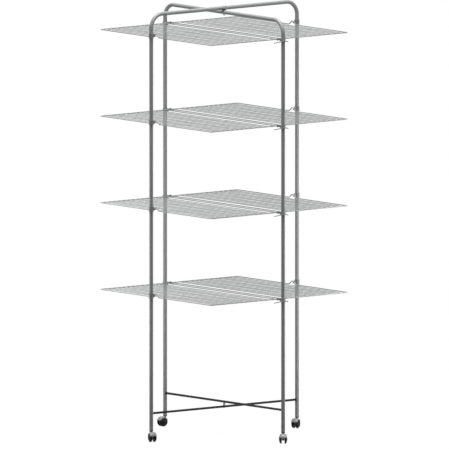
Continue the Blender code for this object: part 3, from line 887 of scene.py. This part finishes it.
@dataclass(frozen=True)
class TopPivot:
    """The bolt down through both top bars, the washer between them and the nut under them."""

    head_radius: float = 0.0060
    head_height: float = 0.0037
    head_rim: float = 0.0008
    head_edge: float = 0.0002
    shank_radius: float = 0.0025
    tip_chamfer: float = 0.0006
    thread_start: float = 0.0004
    thread_end: float = 0.009
    thread_depth: float = 0.0003
    thread_pitch: float = 0.0008
    nut_radius: float = 0.0052
    nut_chamfer: float = 0.00072
    nut_chamfer_height: float = 0.0005
    nut_lip: float = 0.0004
    hole_radius: float = 0.0030
    washer_radius: float = 0.0070

    def bolt(self) -> Surface:
        """A low dome head over a plain shank whose lower end carries thread-like rings."""
        foot, crown = heights("top_pivot_bolt")
        seat = crown - self.head_height
        rings = np.arange(foot + self.thread_start, foot + self.thread_end, self.thread_pitch / 2)
        teeth = np.where(np.arange(len(rings)) % 2 == 0, 0.0, self.thread_depth)
        thread = np.stack([self.shank_radius - teeth, rings], axis=-1)
        f = np.radians(np.linspace(0.0, 86.0, 12))
        rim = seat + self.head_rim
        dome = np.stack([self.head_radius * np.cos(f), rim + (crown - rim) * np.sin(f)], axis=-1)
        tip = [(self.shank_radius - self.tip_chamfer, foot)]
        shank = [(self.shank_radius, rings[-1] + self.thread_pitch), (self.shank_radius, seat)]
        head = [(self.head_radius - self.head_edge, seat), (self.head_radius, seat + self.head_edge)]
        return turned(np.vstack([tip, thread, shank, head, dome]), 40)

    def nut(self) -> Surface:
        """Six flats cut back by a cone at both faces, bored through.

        The outline's radius is r cos 30 / cos(a mod 60 - 30); a face's rings are no wider than the cone is.
        """
        low, high = heights("top_pivot_nut")
        angle = np.linspace(0.0, 2 * np.pi, 72, endpoint=False)
        flat = self.nut_radius * math.cos(math.radians(30)) / np.cos(angle % (np.pi / 3) - np.pi / 6)
        cone = np.minimum(flat, self.nut_radius - self.nut_chamfer)
        bore = np.full_like(flat, self.hole_radius)
        lip = bore + self.nut_lip
        radii = np.array([bore, lip, cone, flat, flat, cone, lip, bore])
        rise = np.array([self.nut_lip, 0.0, 0.0, self.nut_chamfer_height])
        levels = np.concatenate([low + rise, high - rise[::-1]])
        rings = np.stack([radii * np.cos(angle), radii * np.sin(angle), levels[:, None] + 0 * radii], axis=-1)
        return Surface.from_rings(rings, closed=True)

    def washer(self) -> Surface:
        """A thin ring with eased rims."""
        return bush(self.washer_radius, self.hole_radius, heights("top_pivot_washer"), 0.0003, 3, 48)

    def build(self, finishes: Finishes) -> None:
        """Make and dress the three pieces."""
        finishes.show("top_pivot_bolt_fine", self.bolt().mesh("bolt"), Slot.ZINC, "top_pivot_bolt")
        finishes.show("top_pivot_nut_fine", self.nut().mesh("nut"), Slot.ZINC, "top_pivot_nut")
        finishes.show("top_pivot_washer_fine", self.washer().mesh("washer"), Slot.BLACK, "top_pivot_washer")


@dataclass(frozen=True)
class BasePivot:
    """The rivet through both tie rods and the pale sleeve that keeps them apart."""

    shank_radius: float = 0.0019
    head_radius: float = 0.0038
    head_height: float = 0.0016
    sleeve_radius: float = 0.0045
    sleeve_bore: float = 0.0025

    def rivet(self) -> Surface:
        """A shank between two low domes, each a quarter ellipse."""
        low, high = heights("base_pivot_rivet")
        f = np.radians(np.linspace(4.0, 90.0, 8))
        radius = self.head_radius * np.sin(f)
        lower = np.stack([radius, low + self.head_height * (1 - np.cos(f))], axis=-1)
        upper = np.stack([radius, high - self.head_height * (1 - np.cos(f))], axis=-1)[::-1]
        shank = [(self.shank_radius, low + self.head_height), (self.shank_radius, high - self.head_height)]
        return turned(np.vstack([lower, shank, upper]), 32)

    def sleeve(self) -> Surface:
        """A short bush with eased rims."""
        return bush(self.sleeve_radius, self.sleeve_bore, heights("base_pivot_sleeve"), 0.0006, 4, 32)

    def build(self, finishes: Finishes) -> None:
        """Make and dress the two pieces."""
        finishes.show("base_pivot_rivet_fine", self.rivet().mesh("rivet"), Slot.ZINC, "base_pivot_rivet")
        finishes.show("base_pivot_sleeve_fine", self.sleeve().mesh("sleeve"), Slot.PALE, "base_pivot_sleeve")


@dataclass(frozen=True)
class Rack:
    """One drop-leaf rack, drawn with its hinge line on the X axis and reaching out along +Y."""

    tier: int
    side: str
    half_side: float = 0.334
    pin_reach: float = 0.345
    border_radius: float = 0.0020
    infill_radius: float = 0.0016
    infill_count: int = 12
    infill_pitch: float = 0.0233
    first_infill: float = 0.0365
    infill_bow: float = 0.0003
    infill_end: float = 0.0006
    infill_edge: float = 0.0007
    weld_inset: float = 0.0019
    weld_size: tuple[float, float, float] = (0.0013, 0.0022, 0.0018)
    foot_weld_reach: float = 0.0016
    foot_weld_size: tuple[float, float, float] = (0.0025, 0.0014, 0.0024)
    rail_start: float = 0.0012
    hinge_wire_edge: float = 0.0006
    corner_radius: float = 0.006
    catch_half_width: float = 0.019
    catch_run: float = 0.02
    catch_flat: float = 0.003
    catch_height: float = 0.013
    catch_ease: float = 0.0045
    wire_sides: int = 14

    @property
    def node(self) -> str:
        """The rack's node, which is also its body's name."""
        return f"rack_{self.tier}_{self.side}"

    def hinge(self) -> Vector:
        """The middle of the rack's hinge line."""
        return Vector(joint(f"{self.node}_drop")["pos_m"])

    def border(self) -> Surface:
        """Side rails, outer border and catch bend as one bent wire."""
        reach = self.half_side - abs(self.hinge().y)
        turn_x, turn_y = self.half_side - self.corner_radius, reach - self.corner_radius
        corner = arc((turn_x, turn_y), self.corner_radius, 0.0, 90.0, 8)
        right = np.column_stack([corner, np.zeros(len(corner))])
        run = self.catch_half_width + self.catch_run
        peak = [
            (run, reach, 0.0), (self.catch_half_width, reach, 0.0),
            (self.catch_flat, reach, self.catch_height), (-self.catch_flat, reach, self.catch_height),
            (-self.catch_half_width, reach, 0.0), (-run, reach, 0.0),
        ]
        catch = eased(peak, self.catch_ease, 5)
        left = right[::-1] * (-1.0, 1.0, 1.0)
        first = [(self.half_side, self.rail_start, 0.0)]
        last = [(-self.half_side, self.rail_start, 0.0)]
        path = np.vstack([first, right, catch, left, last])
        return bar(stretched(path, 0.04), self.border_radius, self.wire_sides, UP)

    def infill(self) -> list[Surface]:
        """The cross wires, level with the rails and bowed by a hair: height bow (1 - (x / end)^2)."""
        end = self.half_side - self.infill_end
        x = np.linspace(-end, end, 9)
        wires = []
        for number in range(self.infill_count):
            y = self.first_infill + self.infill_pitch * number
            bow = self.infill_bow * math.sin(2.4 * number + self.tier) * (1 - (x / end) ** 2)
            line = np.stack([x, np.full_like(x, y), bow], axis=-1)
            wires.append(bar(line, self.infill_radius, self.wire_sides, UP, self.infill_edge))
        return wires

    def welds(self) -> Surface:
        """The spots that weld each cross wire between the side rails, and the rails to the hinge wire."""
        y = self.first_infill + self.infill_pitch * np.arange(self.infill_count)
        x = np.full_like(y, self.half_side - self.weld_inset)
        spots = [np.stack([sign * x, y, np.zeros_like(y)], axis=-1) for sign in (-1, 1)]
        feet = np.array([(sign * self.half_side, self.foot_weld_reach, 0.0) for sign in (-1, 1)])
        return Surface.joined([beads(np.vstack(spots), self.weld_size), beads(feet, self.foot_weld_size)])

    def mesh(self) -> bpy.types.Mesh:
        """The whole rack's mesh in its place: front racks are turned half round."""
        hinge_wire = np.array([(-self.pin_reach, 0.0, 0.0), (self.pin_reach, 0.0, 0.0)])
        hinge = bar(stretched(hinge_wire, 0.1), self.border_radius, 18, UP, self.hinge_wire_edge)
        shells = [hinge, self.border(), *self.infill(), self.welds()]
        turn = Matrix.Rotation(math.pi if self.side == "front" else 0.0, 4, "Z")
        return Surface.joined(shells).moved(Matrix.Translation(self.hinge()) @ turn).mesh(self.node)

    def build(self, finishes: Finishes) -> None:
        """Make and dress the rack."""
        finishes.show(f"{self.node}_wires", self.mesh(), Slot.WIRE, self.node)


@dataclass(frozen=True)
class Collar:
    """The ring of a clip round its leg, waisted between two rims; the leg is the Z axis."""

    low: float
    high: float
    radius: float = 0.0097
    bore: float = 0.0080
    rim: float = 0.0018
    waist: float = 0.0004
    edge: float = 0.0005

    def shell(self) -> Surface:
        """The ring with its corners eased."""
        outline = [
            (self.bore, self.low), (self.radius, self.low), (self.radius, self.low + self.rim),
            (self.radius - self.waist, self.low + self.rim + self.waist),
            (self.radius - self.waist, self.high - self.rim - self.waist),
            (self.radius, self.high - self.rim), (self.radius, self.high), (self.bore, self.high),
        ]
        return turned(eased(outline, self.edge, 3, closed=True), 64, closed=True)


@dataclass(frozen=True)
class HingeClip:
    """A clip on a leg of frame A: collar, neck, two pin eyes on a bar, and a bent lever outside.

    It is drawn with the leg on the Z axis, the tier's height at z = 0 and +X pointing out of the airer.
    """

    collar: Collar = Collar(-0.0095, 0.0025)
    eye_near: float = -0.0138
    eye_far: float = -0.0183
    eye_radius: float = 0.0042
    eye_bore: float = 0.0027
    eye_offset: float = 0.0142
    bar_half_height: float = 0.0034
    neck_half_width: float = 0.0040
    neck_low: float = -0.0075
    neck_high: float = 0.0010
    lever_x: float = 0.0094
    lever_run: tuple[tuple[float, float], ...] = (
        (0.0175, -0.0105), (0.0145, -0.0075), (0.0, -0.0048), (-0.052, -0.0095),
    )
    lever_stations: tuple[float, ...] = (-0.052, -0.042, -0.012, 0.0, 0.0175)
    lever_root: float = 0.0018
    lever_tip: float = 0.0017
    neck_edge: float = 0.0009
    bar_edge: float = 0.0008
    grain: float = 0.00045

    def shells(self) -> list[Surface]:
        """The overlapping solids that the clip is moulded from."""
        neck = block((self.eye_far + 0.0005, -self.neck_half_width, self.neck_low),
                     (-self.collar.bore - 0.0003, self.neck_half_width, self.neck_high), self.neck_edge)
        half = self.eye_offset - self.eye_bore
        cross_bar = block((self.eye_far, -half, -self.bar_half_height),
                          (self.eye_near, half, self.bar_half_height), self.bar_edge)
        depth = self.eye_near - self.eye_far
        ring = [(self.eye_bore, 0.0), (self.eye_radius, 0.0),
                (self.eye_radius, depth), (self.eye_bore, depth)]
        eye = turned(eased(ring, 0.0005, 3, closed=True), 40, closed=True)
        places = [Vector((self.eye_far, sign * self.eye_offset, 0.0)) for sign in (-1, 1)]
        eyes = [eye.moved(basis(Z_AXIS, X_AXIS, place)) for place in places]
        run = stretched(eased([(self.lever_x, y, z) for y, z in self.lever_run], 0.006, 5), 0.004)
        root, tip = self.lever_root, self.lever_tip
        size = np.interp(run[:, 1], self.lever_stations, [root, tip, tip, root, tip])
        lever = bar(run, size, 20, np.array(X_AXIS), tip * 0.95)
        return [self.collar.shell(), neck, cross_bar, *eyes, lever]

    def build(self, finishes: Finishes) -> None:
        """Mould the clip once and put a copy on each leg of frame A at every tier."""
        master = moulded("hinge_clip", self.shells(), self.grain)
        for tier in TIERS:
            for leg in (Leg.RIGHT, Leg.LEFT):
                node = f"hinge_clip_{tier}_{leg.side}"
                finishes.show(f"{node}_moulding", on_leg(master, leg, tier), Slot.CLIP, node)


@dataclass(frozen=True)
class CatchClip:
    """A clip on a leg of frame B: a collar whose nose points inwards under the rack's catch bend."""

    collar: Collar = Collar(-0.0020, 0.0170)
    nose_side: tuple[tuple[float, float], ...] = (
        (-0.0083, 0.0025), (-0.0083, 0.0145), (-0.0140, 0.0130),
        (-0.0185, 0.0080), (-0.0185, 0.0050), (-0.0150, 0.0025),
    )
    nose_ease: float = 0.0016
    nose_half_width: float = 0.0035
    nose_edge: float = 0.0009
    grain: float = 0.00045

    def shells(self) -> list[Surface]:
        """The overlapping solids that the clip is moulded from."""
        outline = eased(self.nose_side[::-1], self.nose_ease, 4, closed=True)
        nose = plate(outline, -self.nose_half_width, self.nose_half_width, self.nose_edge)
        upright = Matrix.Rotation(math.radians(90.0), 4, "X")
        return [self.collar.shell(), nose.moved(upright)]

    def build(self, finishes: Finishes) -> None:
        """Mould the clip once and put a copy on each leg of frame B at every tier."""
        master = moulded("catch_clip", self.shells(), self.grain)
        for tier in TIERS:
            for leg in (Leg.FRONT, Leg.BACK):
                node = f"catch_clip_{tier}_{leg.side}"
                finishes.show(f"{node}_moulding", on_leg(master, leg, tier), Slot.CLIP, node)


def on_leg(master: bpy.types.Mesh, leg: Leg, tier: int) -> bpy.types.Mesh:
    """A copy of a clip's mesh on a leg at a tier's height, its +X turned outwards."""
    low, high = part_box(f"leg_tube_{leg.side}")
    height = Rack(tier, "back").hinge().z
    middle = (low + high) / 2
    mesh = master.copy()
    mesh.transform(basis(leg.outwards, Z_AXIS, Vector((middle.x, middle.y, height))))
    return mesh


@dataclass(frozen=True)
class Castor:
    """One twin-wheel castor with its socket, drawn with the stem on the Z axis and trailing along +X."""

    leg: Leg
    hood_radius: float = 0.0205
    hood_rim_radius: float = 0.0155
    hood_rim: float = 0.0130
    hood_roundness: float = 2.5
    hood_wall: float = 0.0011
    hood_cut: float = 0.0064
    hood_edge: float = 0.0003
    web_half_width: float = 0.0045
    web_radius: float = 0.0200
    web_foot_radius: float = 0.0065
    neck_flare: tuple[tuple[float, float], ...] = (
        (0.0052, 0.0270), (0.0052, 0.0320), (0.0049, 0.0345), (0.0044, 0.0365),
    )
    neck_radius: float = 0.0042
    neck_foot: float = 0.0378
    neck_top: float = 0.0389
    neck_edge: float = 0.0002
    stem_radius: float = 0.0029
    stem_top: float = 0.058
    stem_chamfer: float = 0.0008
    wheel_inner: float = 0.0053
    tread_outer: float = 0.0080
    wheel_outer: float = 0.0162
    wheel_bore: float = 0.0029
    groove_radius: float = 0.0118
    groove_depth: float = 0.0005
    groove_width: float = 0.0006
    cap_radius: float = 0.0042
    cap_height: float = 0.0004
    cap_edge: float = 0.00012
    tread_edge: float = 0.0006
    plug_bore: float = 0.0034
    plug_radius: float = 0.0059
    flange_radius: float = 0.0080
    seat_gap: float = 0.0003

    def frame_of(self) -> tuple[Matrix, float, float]:
        """The castor's own axes in space, its trail, and the height of its axle."""
        swivel = Vector(joint(f"castor_{self.leg.side}_swivel")["pos_m"])
        ends = [Vector(joint(f"castor_{self.leg.side}_wheel_{letter}_spin")["pos_m"]) for letter in "ab"]
        axle = (ends[0] + ends[1]) / 2
        back = Vector((axle.x - swivel.x, axle.y - swivel.y, 0.0))
        place = Vector((swivel.x, swivel.y, 0.0))
        return basis(back.normalized(), Z_AXIS, place), back.length, axle.z

    def hood(self, trail: float, axle: float) -> bpy.types.Mesh:
        """The rounded shell over the wheels, cut off level a little above the axle.

        For t from -90 to 90 across the shell, the half width is rim sign(sin t) |sin t|^(2/k) and the
        radius is r = rim_radius + (radius - rim_radius) (cos t)^(2/k). The angle a along the shell runs
        from arcsin(cut / r) to its mirror image, 180 degrees less that.
        """
        share = np.linspace(-1.0, 1.0, 49)[:, None]
        t = np.radians(np.linspace(-90.0, 90.0, 37))[None]
        power = 2.0 / self.hood_roundness
        across = self.hood_rim * np.sign(np.sin(t)) * np.abs(np.sin(t)) ** power
        swell = self.hood_radius - self.hood_rim_radius
        radius = self.hood_rim_radius + swell * np.cos(t).clip(0.0) ** power
        sheets = []
        for size in (radius, radius - self.hood_wall):
            a = np.pi / 2 + share * np.arccos(self.hood_cut / size)
            points = [trail + size * np.cos(a), across + 0 * share, axle + size * np.sin(a)]
            sheets.append(np.stack(points, axis=-1))
        wall = Surface.from_sheets(*sheets).mesh("hood")

        def ease(item: bpy.types.Object) -> None:
            """Round the hood's rims."""
            bevel = item.modifiers.new("rims", "BEVEL")
            bevel.width = self.hood_edge
            bevel.segments = 3
            bevel.limit_method = "ANGLE"
            bevel.angle_limit = math.radians(50.0)

        return baked(wall, ease)

    def body(self, trail: float, axle: float) -> bpy.types.Mesh:
        """Hood, middle web, neck and stem."""
        rim = arc((trail, axle), self.web_radius, 20.0, 160.0, 24)
        foot = arc((trail, axle), self.web_foot_radius, 183.0, 355.0, 16)
        web = plate(np.vstack([rim, foot]), -self.web_half_width, self.web_half_width, 0.0005)
        web = web.moved(Matrix.Rotation(math.radians(90.0), 4, "X"))
        neck = np.array([
            *self.neck_flare, (self.neck_radius, self.neck_foot),
            (self.neck_radius, self.neck_top - self.neck_edge),
            (self.neck_radius - self.neck_edge, self.neck_top), (self.stem_radius, self.neck_top),
            (self.stem_radius, self.stem_top - self.stem_chamfer),
            (self.stem_radius - self.stem_chamfer, self.stem_top),
        ])
        meshes = [self.hood(trail, axle), web.mesh("web"), turned(neck, 36).mesh("neck")]
        return gathered("castor_body", meshes)

    def wheel(self, radius: float) -> Surface:
        """One wheel, its axle on Z and its domed face up.

        The dome is a quarter ellipse, less a soft groove, depth exp(-((r - groove) / width)^2), and with a
        raised cap at its middle, height / (1 + exp((r - cap) / edge)).
        """
        f = np.radians(np.linspace(90.0, 1.5, 40))
        r = radius * np.sin(f)
        y = self.tread_outer + (self.wheel_outer - self.cap_height - self.tread_outer) * np.cos(f)
        y = y - self.groove_depth * np.exp(-((r - self.groove_radius) / self.groove_width) ** 2)
        y = y + self.cap_height / (1 + np.exp((r - self.cap_radius) / self.cap_edge))
        rim, curve = self.tread_edge, self.tread_edge / 3
        inner = [(self.wheel_bore, self.wheel_inner), (radius - rim, self.wheel_inner),
                 (radius - curve, self.wheel_inner + curve), (radius, self.wheel_inner + rim)]
        return turned(np.vstack([inner, np.stack([r, y], axis=-1)]), 72)

    def socket(self) -> Surface:
        """The flanged bush in the leg's foot."""
        low, high = heights(f"leg_socket_{self.leg.side}")
        seat = heights(f"leg_tube_{self.leg.side}")[0] - self.seat_gap
        corners = [(self.plug_bore, low), (self.flange_radius, low), (self.flange_radius, seat),
                   (self.plug_radius, seat), (self.plug_radius, high), (self.plug_bore, high)]
        return turned(eased(corners, 0.0005, 3, closed=True), 48, closed=True)

    def build(self, finishes: Finishes) -> None:
        """Make and dress the castor's pieces and its socket."""
        place, trail, axle = self.frame_of()
        name = f"castor_{self.leg.side}"
        body = self.body(trail, axle)
        body.transform(place)
        finishes.show(f"{name}_body_moulding", body, Slot.HOOD, f"{name}_body")
        finishes.coat(f"{name}_axle", Slot.ZINC)
        wheel = self.wheel(axle)
        for letter, sign in (("a", 1.0), ("b", -1.0)):
            across = basis(X_AXIS, Vector((0.0, sign, 0.0)), Vector((trail, 0.0, axle)))
            mesh = wheel.moved(place @ across).mesh("wheel")
            finishes.show(f"{name}_wheel_{letter}_moulding", mesh, Slot.BLACK, f"{name}_wheel_{letter}")
        node = f"leg_socket_{self.leg.side}"
        socket = self.socket().moved(Matrix.Translation(place.to_translation())).mesh("socket")
        finishes.show(f"{node}_moulding", socket, Slot.BLACK, node)


@dataclass(frozen=True)
class Lamp:
    """One soft box, placed by (to the camera's right, towards the camera, up) from the floor's middle."""

    name: str
    place: tuple[float, float, float]
    target: tuple[float, float, float]
    width: float
    height: float
    power: float

    def build(self, right: Vector, nearer: Vector) -> None:
        """Hang the lamp so that it faces its target.

        Args:
            right: Unit vector to the camera's right.
            nearer: Level unit vector towards the camera.
        """
        data = bpy.data.lights.new(self.name, "AREA")
        data.shape = "RECTANGLE"
        data.size, data.size_y = self.width, self.height
        data.energy = self.power
        item = bpy.data.objects.new(self.name, data)
        spot, aim = (right * x + nearer * y + Vector((0.0, 0.0, z)) for x, y, z in (self.place, self.target))
        item.location = spot
        item.rotation_euler = (spot - aim).to_track_quat("Z", "Y").to_euler()
        item.visible_camera = False
        bpy.context.scene.collection.objects.link(item)


def direction(azimuth: float, elevation: float) -> Vector:
    """Unit vector from the airer to a viewer; azimuth 0 stands at -Y and 90 at +X."""
    a, e = math.radians(azimuth), math.radians(elevation)
    return Vector((math.sin(a) * math.cos(e), -math.cos(a) * math.cos(e), math.sin(e)))


@dataclass(frozen=True)
class Studio:
    """A pale floor that runs into a white surround, soft lamps, and the camera."""

    azimuth: float = 51.0
    elevation: float = 6.777
    view_height: float = 0.8044
    view_shift: float = 0.0015
    metres_per_pixel: float = 0.0038
    picture_side: int = 449
    camera_distance: float = 6.0
    floor_half_side: float = 30.0
    floor_drop: float = 0.0003
    floor_glow: float = 0.92
    glow_reach: tuple[float, float] = (0.7, 3.0)
    floor_colour: float = 0.12
    floor_seen_colour: float = 0.8
    ambient: float = 0.07
    lamps: tuple[Lamp, ...] = (
        Lamp("top", (0.0, 0.3, 9.0), (0.0, 0.0, 0.8), 3.0, 3.0, 950.0),
        Lamp("front", (0.0, 1.9, 4.2), (0.0, 0.0, 1.3), 1.4, 1.4, 62.0),
        Lamp("left_strip", (-0.95, 0.1, 0.65), (0.1, -0.15, 0.55), 0.4, 1.1, 6.0),
        Lamp("right_strip", (0.95, 0.1, 0.65), (-0.1, -0.15, 0.55), 0.4, 1.1, 8.0),
    )

    def seen_directly(self, shader: Shader) -> Value:
        """1 for the camera, glossy and transmission rays that Light Path tells, else 0."""
        rays = [shader.node("ShaderNodeLightPath", {}, {}, index) for index in SEEN_RAYS]
        return rays[0].maths("MINIMUM", rays[0] + rays[1] + rays[2], 1.0)

    def floor(self) -> None:
        """A flat floor: dull where it only lights the airer, mostly its own light where it is seen."""
        half = self.floor_half_side
        mesh = bpy.data.meshes.new("floor")
        z = -self.floor_drop
        corners = [(-half, -half, z), (half, -half, z), (half, half, z), (-half, half, z)]
        mesh.from_pydata(corners, [], [(0, 1, 2, 3)])
        shader = Shader("floor")
        seen = self.seen_directly(shader)
        colour = shader.mixed(seen, (self.floor_colour,) * 3, (self.floor_seen_colour,) * 3)
        shader.finish(base_color=colour, roughness=0.9, specular_ior_level=0.0)
        glow = shader.node("ShaderNodeEmission", {}, {"Color": (1.0, 1.0, 1.0, 1.0), "Strength": 1.0})
        away = shader.node("ShaderNodeVectorMath", {"operation": "LENGTH"}, {0: shader.place()}, 1)
        share = self.floor_glow + away.between(*self.glow_reach) * (1.0 - self.floor_glow)
        surface = Value(shader, shader.principled.outputs[0])
        mixed = shader.node("ShaderNodeMixShader", {}, {0: seen * share, 1: surface, 2: glow})
        shader.feed(shader.tree.nodes["Material Output"].inputs["Surface"], mixed)
        mesh.materials.append(shader.material)
        item = bpy.data.objects.new("floor", mesh)
        bpy.context.scene.collection.objects.link(item)

    def surround(self) -> None:
        """A world that is white where it is seen and a plain grey level where it only lights."""
        world = bpy.data.worlds.new("surround")
        world.use_nodes = True
        bpy.context.scene.world = world
        nodes, links = world.node_tree.nodes, world.node_tree.links
        sky = nodes["Background"]
        sky.inputs["Color"].default_value = (1.0, 1.0, 1.0, 1.0)
        rays = nodes.new("ShaderNodeLightPath")
        total = nodes.new("ShaderNodeMath")
        links.new(rays.outputs["Is Camera Ray"], total.inputs[0])
        links.new(rays.outputs["Is Glossy Ray"], total.inputs[1])
        whole = nodes.new("ShaderNodeMath")
        links.new(total.outputs[0], whole.inputs[0])
        links.new(rays.outputs["Is Transmission Ray"], whole.inputs[1])
        level = nodes.new("ShaderNodeMapRange")
        links.new(whole.outputs[0], level.inputs["Value"])
        level.inputs["To Min"].default_value = self.ambient
        links.new(level.outputs[0], sky.inputs["Strength"])

    def camera(self) -> None:
        """An orthographic camera at the photograph's angle and framing."""
        data = bpy.data.cameras.new("camera")
        data.type = "ORTHO"
        data.ortho_scale = self.picture_side * self.metres_per_pixel
        data.clip_end = 60.0
        away = direction(self.azimuth, self.elevation)
        right = direction(self.azimuth + 90.0, 0.0)
        item = bpy.data.objects.new("camera", data)
        item.location = self.view_height * Z_AXIS + right * self.view_shift + away * self.camera_distance
        item.rotation_euler = away.to_track_quat("Z", "Y").to_euler()
        bpy.context.scene.collection.objects.link(item)
        bpy.context.scene.camera = item

    def build(self) -> None:
        """Set up everything round the airer."""
        bpy.context.scene.view_settings.view_transform = "Standard"
        self.floor()
        self.surround()
        self.camera()
        for lamp in self.lamps:
            lamp.build(direction(self.azimuth + 90.0, 0.0), direction(self.azimuth, 0.0))


def main() -> None:
    """Build the studio and every sub-assembly in order; each piece's face count is logged as it is added."""
    logging.basicConfig(level=logging.INFO, format="%(name)s %(message)s")
    Studio().build()
    finishes = Finishes()
    TubeFrame("a", (Leg.RIGHT, Leg.LEFT)).build(finishes)
    TubeFrame("b", (Leg.BACK, Leg.FRONT)).build(finishes)
    TopPivot().build(finishes)
    BasePivot().build(finishes)
    for tier in TIERS:
        for side in ("front", "back"):
            Rack(tier, side).build(finishes)
    HingeClip().build(finishes)
    CatchClip().build(finishes)
    for leg in Leg:
        Castor(leg).build(finishes)


if __name__ == "__main__":
    main()
